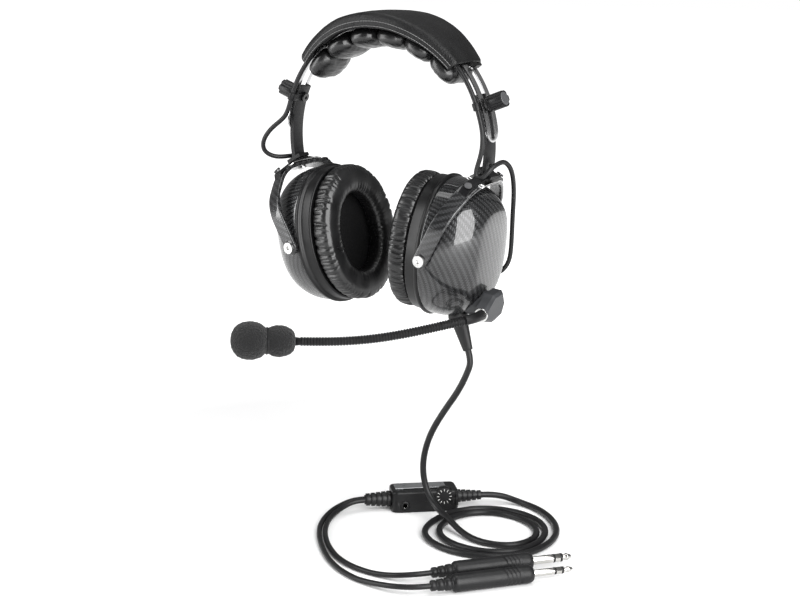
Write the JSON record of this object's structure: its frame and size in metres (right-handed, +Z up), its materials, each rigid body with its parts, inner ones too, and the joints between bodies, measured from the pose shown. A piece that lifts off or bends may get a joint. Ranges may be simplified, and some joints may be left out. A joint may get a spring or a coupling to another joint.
{
  "type": "aviation headset",
  "caption": "Over-ear aviation headset with carbon shells, pleated leather seals, boom microphone, volume box and twin plugs.",
  "frame": {"origin": "underside of the head pad at its middle, where the headset rests on the head", "axes": "+X to the wearer's left ear, -Y the way the wearer faces, +Z up"},
  "size_m": [0.3204, 0.2642, 0.4159],
  "materials": {
    "carbon_gloss": "clear-coated woven carbon",
    "leather_black": "soft grained leather",
    "spring_steel": "bright rolled steel",
    "black_metal": "fine textured black",
    "bright_steel": "polished fasteners",
    "black_plastic": "moulded black, satin",
    "grey_plastic": "moulded dark grey",
    "black_rubber": "flexible black jacket",
    "nickel": "nickel plate",
    "silver_label": "satin sheet, blank",
    "black_foam": "open-cell foam"
  },
  "bodies": {
    "headband": {"headband_spring": "spring_steel", "headband_cover": "leather_black", "head_pad": "leather_black", "cover_tab": "black_plastic", "lead_band": "black_rubber"},
    "arm_l": {"slider_arm_l": "black_metal", "clamp_screw_l": "bright_steel", "cable_clip_l": "black_metal", "swivel_pin_l": "bright_steel", "lead_arm_l": "black_rubber"},
    "knob_l": {"clamp_knob_l": "black_plastic"},
    "yoke_l": {"stirrup_l": "carbon_gloss", "stirrup_bridge_l": "black_metal", "stirrup_rivets_l": "bright_steel", "pivot_screws_l": "bright_steel", "lead_stirrup_l": "black_rubber"},
    "cup_l": {"cup_shell_l": "carbon_gloss", "seal_flange_l": "black_plastic", "ear_seal_l": "leather_black", "cup_foam_l": "black_foam", "speaker_l": "grey_plastic", "lead_cup_l": "black_rubber", "cable_gland": "black_rubber", "boom_mount": "grey_plastic", "main_cord": "black_rubber", "box_lower": "black_plastic", "box_upper": "black_plastic", "aux_jack": "nickel", "box_label_plate": "silver_label", "box_boots": "black_rubber", "phones_cord": "black_rubber", "mic_cord": "black_rubber", "phones_plug_handle": "black_rubber", "phones_plug_shaft": "nickel", "mic_plug_handle": "black_rubber", "mic_plug_shaft": "nickel"},
    "arm_r": {"slider_arm_r": "black_metal", "clamp_screw_r": "bright_steel", "cable_clip_r": "black_metal", "swivel_pin_r": "bright_steel", "lead_arm_r": "black_rubber"},
    "knob_r": {"clamp_knob_r": "black_plastic"},
    "yoke_r": {"stirrup_r": "carbon_gloss", "stirrup_bridge_r": "black_metal", "stirrup_rivets_r": "bright_steel", "pivot_screws_r": "bright_steel", "lead_stirrup_r": "black_rubber"},
    "cup_r": {"cup_shell_r": "carbon_gloss", "seal_flange_r": "black_plastic", "ear_seal_r": "leather_black", "cup_foam_r": "black_foam", "speaker_r": "grey_plastic", "lead_cup_r": "black_rubber"},
    "boom": {"boom_hub": "grey_plastic", "boom_tube": "black_metal", "gooseneck": "black_metal", "mic_capsule": "grey_plastic", "mic_muff": "black_foam", "muff_band": "black_rubber"},
    "dial": {"volume_dial": "black_plastic"}
  },
  "joints": [
    {"name": "size_adjust_l", "type": "hinge", "parent": "headband", "child": "arm_l", "pos_m": [0, 0, -0.0766], "axis": [0, 1, 0], "range_deg": [-5, 4]},
    {"name": "knob_turn_l", "type": "hinge", "parent": "arm_l", "child": "knob_l", "pos_m": [0.09397, 0, -0.0424], "axis": [0.9397, 0, 0.342], "range_deg": [0, 360]},
    {"name": "cup_swivel_l", "type": "hinge", "parent": "arm_l", "child": "yoke_l", "pos_m": [0.057, 0, -0.1589], "axis": [0.4909, 0, 0.8712], "range_deg": [-12, 12]},
    {"name": "cup_tilt_l", "type": "hinge", "parent": "yoke_l", "child": "cup_l", "pos_m": [0.057, 0, -0.1589], "axis": [-0.0911, 0.9945, 0.0513], "range_deg": [-14, 3]},
    {"name": "size_adjust_r", "type": "hinge", "parent": "headband", "child": "arm_r", "pos_m": [0, 0, -0.0766], "axis": [0, -1, 0], "range_deg": [-5, 4]},
    {"name": "knob_turn_r", "type": "hinge", "parent": "arm_r", "child": "knob_r", "pos_m": [-0.09397, 0, -0.0424], "axis": [0.9397, 0, -0.342], "range_deg": [0, 360]},
    {"name": "cup_swivel_r", "type": "hinge", "parent": "arm_r", "child": "yoke_r", "pos_m": [-0.057, 0, -0.1589], "axis": [0.4909, 0, -0.8712], "range_deg": [-12, 12]},
    {"name": "cup_tilt_r", "type": "hinge", "parent": "yoke_r", "child": "cup_r", "pos_m": [-0.057, 0, -0.1589], "axis": [-0.1363, -0.9877, -0.0768], "range_deg": [-14, 3]},
    {"name": "boom_swing", "type": "hinge", "parent": "cup_l", "child": "boom", "pos_m": [0.09432, 0.00156, -0.20092], "axis": [0.9846, 0.0977, -0.1453], "range_deg": [-40, 30]},
    {"name": "dial_turn", "type": "hinge", "parent": "cup_l", "child": "dial", "pos_m": [0.03081, 0.03439, -0.376], "axis": [-0.6691, 0.7431, 0], "range_deg": [-135, 135]}
  ]
}
